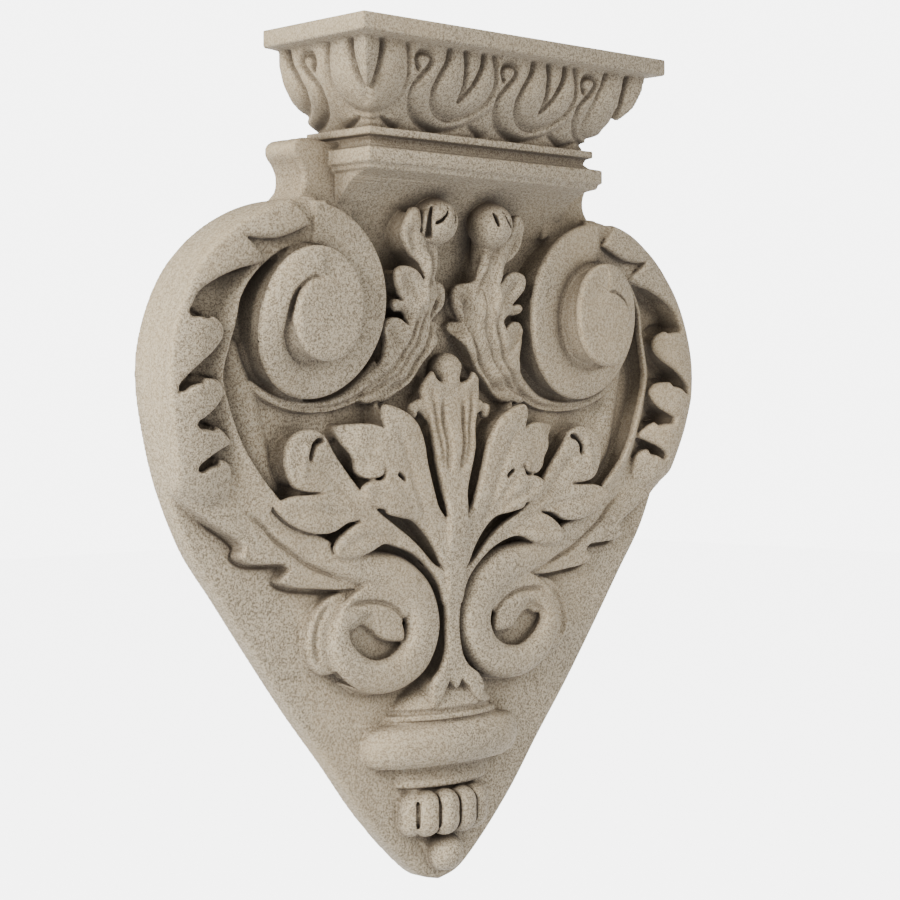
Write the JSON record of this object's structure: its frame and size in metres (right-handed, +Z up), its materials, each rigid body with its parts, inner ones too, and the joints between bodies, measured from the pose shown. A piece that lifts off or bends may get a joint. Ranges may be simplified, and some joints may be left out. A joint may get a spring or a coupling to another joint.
{
  "type": "decorative corbel",
  "caption": "Carved stone corbel with a moulded egg cap over a heart-shaped plate of scrolls, leaves and a vase, built into a wall by its flat back.",
  "frame": {"origin": "on the flat back that meets the wall, on the centre line, 200 mm below the top of the cap", "axes": "+Z up, +Y into the wall, -Y out of the carved front, +X to the right as one looks at the front"},
  "size_m": [0.395, 0.08, 0.46],
  "materials": {
    "sandstone": "matte, fine-grained warm grey sandstone"
  },
  "bodies": {
    "root": {"corbel": "sandstone"}
  },
  "joints": []
}
